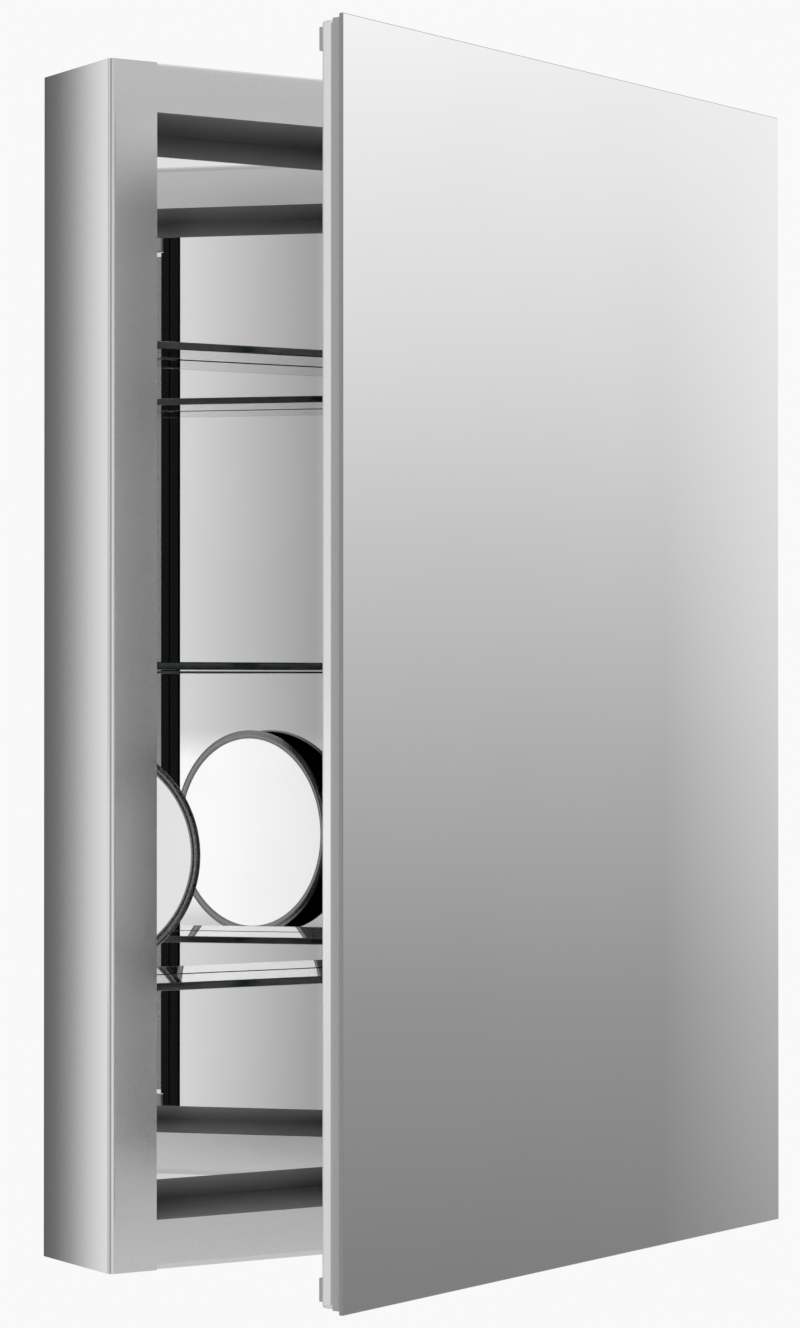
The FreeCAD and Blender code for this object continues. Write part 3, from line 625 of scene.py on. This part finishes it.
# the surround's tones in reflections, as places on a ramp from just below level to just above
SWEEP = ((0.0, 0.20), (0.135, 0.235), (0.30, 0.315), (0.467, 0.462),
         (0.59, 0.588), (0.716, 0.738), (0.88, 0.90), (0.96, 1.0))
ROOM_BACK = math.radians(-145)          # headings, turned from +X towards +Y
PANEL = math.radians(-117.3)
PANEL_DROP = -0.045                     # its middle is a little below level
PANEL_OUTSIDE = math.cos(math.radians(22))
PANEL_INSIDE = math.cos(math.radians(5))

# the card's tones, placed from 0 at the case's side to 1 at CARD_FADE from it; the dark tones next to the
# case are a painted shadow of the case on the wall
CARD_FADE = 0.5
CARD_TONES = ((0.0, 0.15), (0.02, 0.21), (0.045, 0.42), (0.09, 1.05),
              (0.2, 0.85), (0.38, 0.51), (0.9, 0.93))
BAND_HEIGHT = -0.15         # the middle of the card's lighter band

LIGHT_PLACE = Vector((-2.2, -2.4, 2.4))
LIGHT_SIZE = 1.8
LIGHT_POWER = 22

CAMERA_PLACE = (-1.36025, -2.2266, -0.0173)
CAMERA_TURN = (math.radians(90.433), 0.0, math.radians(-31.73))
LENS_LENGTH = 103.79
SENSOR_WIDTH = 36


def towards(tree, heading, direction):
    """How nearly the surround's heading is this direction, as a cosine."""
    return node(tree, "ShaderNodeVectorMath", {0: heading, 1: direction},
                operation="DOT_PRODUCT").outputs["Value"]


def room_behind(tree, heading):
    """The room behind the camera: greyer, but for one soft-edged lit panel."""
    facing = towards(tree, heading, (math.cos(ROOM_BACK), math.sin(ROOM_BACK), 0.0))
    behind = node(tree, "ShaderNodeMapRange", {"Value": facing, "From Min": 0.6, "From Max": 0.95,
                                               "To Min": 0.68, "To Max": 0.43})
    along = towards(tree, heading, (math.cos(PANEL), math.sin(PANEL), PANEL_DROP))
    inside = node(tree, "ShaderNodeMapRange", {"Value": along, "From Min": PANEL_OUTSIDE,
                                               "From Max": PANEL_INSIDE})
    return node(tree, "ShaderNodeMix", {0: inside.outputs["Result"], 2: behind.outputs["Result"],
                                        3: 1.0}).outputs[0]


def wall_glow(tree, axes):
    """How much brighter the surround is towards the wall on the right, most of all higher up."""
    near = node(tree, "ShaderNodeMapRange", {"Value": axes["Y"], "From Min": -0.155, "From Max": -0.105,
                                             "To Max": 0.7})
    lift = node(tree, "ShaderNodeMapRange", {"Value": axes["Z"], "From Min": -0.17, "From Max": 0.0,
                                             "To Min": 0.2})
    return node(tree, "ShaderNodeMath", {0: near.outputs["Result"], 1: lift.outputs["Result"]},
                operation="MULTIPLY").outputs[0]


def studio_world():
    """Plain and near white to the camera; in reflections a soft sweep, bright above and grey below."""
    world = bpy.data.worlds.new("studio")
    bpy.context.scene.world = world
    world.use_nodes = True
    tree = world.node_tree
    tree.nodes.clear()
    heading = node(tree, "ShaderNodeTexCoord").outputs["Generated"]
    axes = node(tree, "ShaderNodeSeparateXYZ", {"Vector": heading}).outputs
    height = node(tree, "ShaderNodeMapRange", {"Value": axes["Z"], "From Min": -0.2, "From Max": 0.2})
    sweep = node(tree, "ShaderNodeValToRGB", {"Fac": height.outputs["Result"]},
                 stops=[(place, grey(tone)) for place, tone in SWEEP])
    # the sweep takes over from the room on the right
    side = node(tree, "ShaderNodeMapRange", {"Value": axes["X"], "From Min": 0.55, "From Max": 0.85})
    room = node(tree, "ShaderNodeMix", {0: side.outputs["Result"], 6: room_behind(tree, heading),
                                        7: sweep.outputs["Color"]}, data_type="RGBA")
    lit = node(tree, "ShaderNodeMix", {0: wall_glow(tree, axes), 6: room.outputs[2], 7: grey(1.0)},
               data_type="RGBA")
    seen = node(tree, "ShaderNodeLightPath").outputs["Is Camera Ray"]
    shown = node(tree, "ShaderNodeMix", {0: seen, 6: lit.outputs[2], 7: grey(BACKDROP)},
                 data_type="RGBA")
    glow = node(tree, "ShaderNodeBackground", {"Color": shown.outputs[2], "Strength": 1.0})
    node(tree, "ShaderNodeOutputWorld", {"Surface": glow.outputs[0]})


def flat(name, corners, material):
    """One flat sheet of the studio, from its four corners."""
    mesh = bpy.data.meshes.new(name)
    mesh.from_pydata(corners, [], [(0, 1, 2, 3)])
    mesh.materials.append(material)
    sheet = bpy.data.objects.new(name, mesh)
    bpy.context.scene.collection.objects.link(sheet)
    return sheet


def floor():
    """A plain pale floor, well below the cabinet."""
    material, tree, skin = finish("pale_floor")
    grain(tree, skin, 3, ("#ECECEC", "#EEEEEE"), (0.7, 0.8), 0.01)
    half = FLOOR_HALF
    flat("floor", [(-half, -half, FLOOR_HEIGHT), (half, -half, FLOOR_HEIGHT),
                   (half, half, FLOOR_HEIGHT), (-half, half, FLOOR_HEIGHT)], material)


def card_power(tree, place, case_side):
    """A window's height of extra light on the card, clear of the case, for the round glass."""
    off = node(tree, "ShaderNodeMath", {0: place["Z"], 1: -BAND_HEIGHT}, operation="ADD").outputs[0]
    apart = node(tree, "ShaderNodeMath", {0: off}, operation="ABSOLUTE").outputs[0]
    band = node(tree, "ShaderNodeMapRange", {"Value": apart, "From Min": 0.095, "From Max": 0.065,
                                             "To Max": 0.45}).outputs["Result"]
    clear = node(tree, "ShaderNodeMapRange", {"Value": place["X"], "From Min": case_side - 0.1,
                                              "From Max": case_side - 0.2}).outputs["Result"]
    return node(tree, "ShaderNodeMath", {0: band, 1: clear, 2: 1.0},
                operation="MULTIPLY_ADD").outputs[0]


def side_card():
    """A lit card beside the case, level with its back, with a painted shadow of the case making it darker
    towards the case; reflections only.
    """
    case_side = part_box("case_left")[0].x
    material = bpy.data.materials.new("side_card")
    material.use_nodes = True
    tree = material.node_tree
    tree.nodes.clear()
    spot = node(tree, "ShaderNodeTexCoord").outputs["Object"]
    place = node(tree, "ShaderNodeSeparateXYZ", {"Vector": spot}).outputs
    out = node(tree, "ShaderNodeMapRange", {"Value": place["X"], "From Min": case_side,
                                            "From Max": case_side - CARD_FADE})
    tone = node(tree, "ShaderNodeValToRGB", {"Fac": out.outputs["Result"]},
                stops=[(share, grey(level)) for share, level in CARD_TONES])
    glow = node(tree, "ShaderNodeEmission", {"Color": tone.outputs["Color"],
                                             "Strength": card_power(tree, place, case_side)})
    node(tree, "ShaderNodeOutputMaterial", {"Surface": glow.outputs[0]})
    far_side = case_side - CARD_LENGTH
    tall = CARD_HALF_HEIGHT
    card = flat("side_card", [(case_side, 0, -tall), (far_side, 0, -tall), (far_side, 0, tall),
                              (case_side, 0, tall)], material)
    card.visible_camera = False


def soft_light():
    """One broad soft light, high and to the left of the camera."""
    light = bpy.data.lights.new("soft_light", "AREA")
    light.shape = "DISK"
    light.size = LIGHT_SIZE
    light.energy = LIGHT_POWER
    lamp = bpy.data.objects.new("soft_light", light)
    lamp.location = LIGHT_PLACE
    lamp.rotation_euler = (-lamp.location).to_track_quat("-Z", "Y").to_euler()
    lamp.visible_glossy = False
    bpy.context.scene.collection.objects.link(lamp)


def camera():
    """Level with the cabinet's middle, well to its left, with a long lens."""
    lens = bpy.data.cameras.new("camera")
    lens.lens = LENS_LENGTH
    lens.sensor_width = SENSOR_WIDTH
    view = bpy.data.objects.new("camera", lens)
    view.location = CAMERA_PLACE
    view.rotation_euler = CAMERA_TURN
    bpy.context.scene.collection.objects.link(view)
    bpy.context.scene.camera = view


finish_the_nodes()
front_mirror()
glass_shelves()
seal_trim()
concave_glass()
screw = screw_tree()
case_screws(screw)
door_screws(screw)
studio_world()
floor()
side_card()
soft_light()
camera()
bpy.context.scene.view_settings.view_transform = "Standard"
